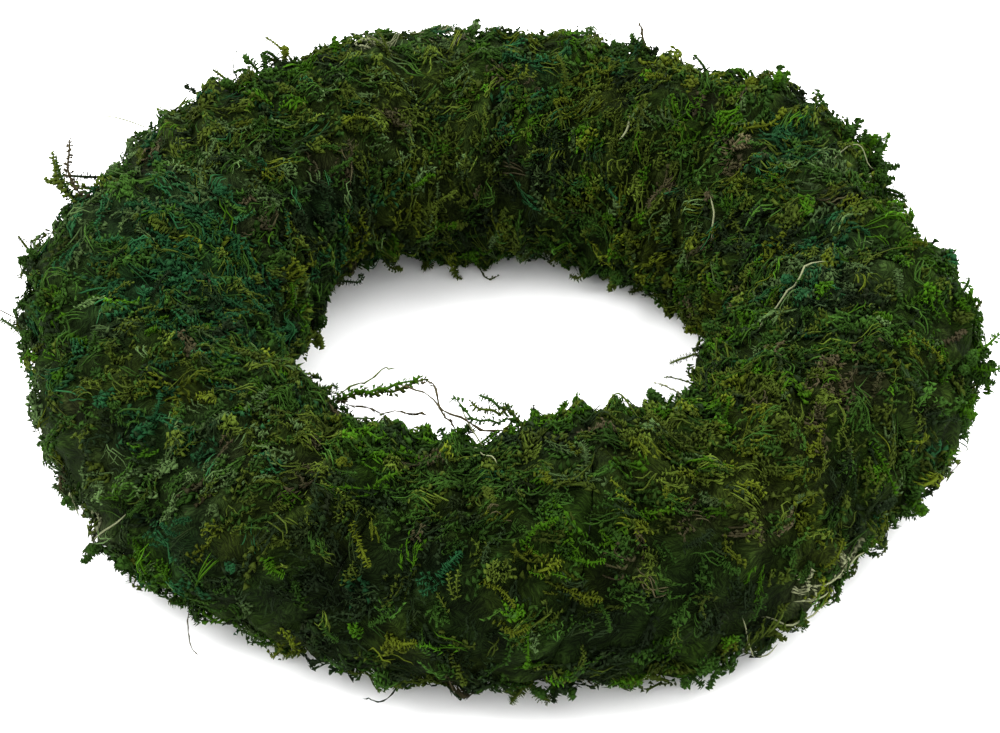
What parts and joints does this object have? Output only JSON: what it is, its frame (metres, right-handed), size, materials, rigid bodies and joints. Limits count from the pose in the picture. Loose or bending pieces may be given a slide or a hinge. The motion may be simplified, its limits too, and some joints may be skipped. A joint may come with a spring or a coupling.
{
  "type": "moss wreath",
  "caption": "Round wreath of shaggy green feather moss, bound in handfuls over a hidden straw ring, with an open middle; lies flat on a table.",
  "frame": {"origin": "middle of the wreath in plan, at the height of the surface it lies on", "axes": "+Z is the wreath's axis and points up, +Y to the far side as it is pictured, and +X to its right"},
  "size_m": [0.3113, 0.3029, 0.0835],
  "materials": {
    "straw": "matte dry straw",
    "lacquered_wire": "satin dark green lacquer on steel wire",
    "moss_deep": "matte, fibrous, deep green dried moss",
    "moss_emerald": "matte, fibrous, blue-green dried moss",
    "moss_olive": "matte, fibrous, olive dried moss",
    "moss_bright": "matte, fibrous, yellow-green dried moss"
  },
  "bodies": {
    "root": {"straw_ring": "straw", "binding_wire": "lacquered_wire", "moss_01": "moss_bright", "moss_02": "moss_olive", "moss_03": "moss_deep", "moss_04": "moss_olive", "moss_05": "moss_deep", "moss_06": "moss_emerald", "moss_07": "moss_deep", "moss_08": "moss_emerald", "moss_09": "moss_deep", "moss_10": "moss_olive", "moss_11": "moss_bright", "moss_12": "moss_bright"}
  },
  "joints": []
}
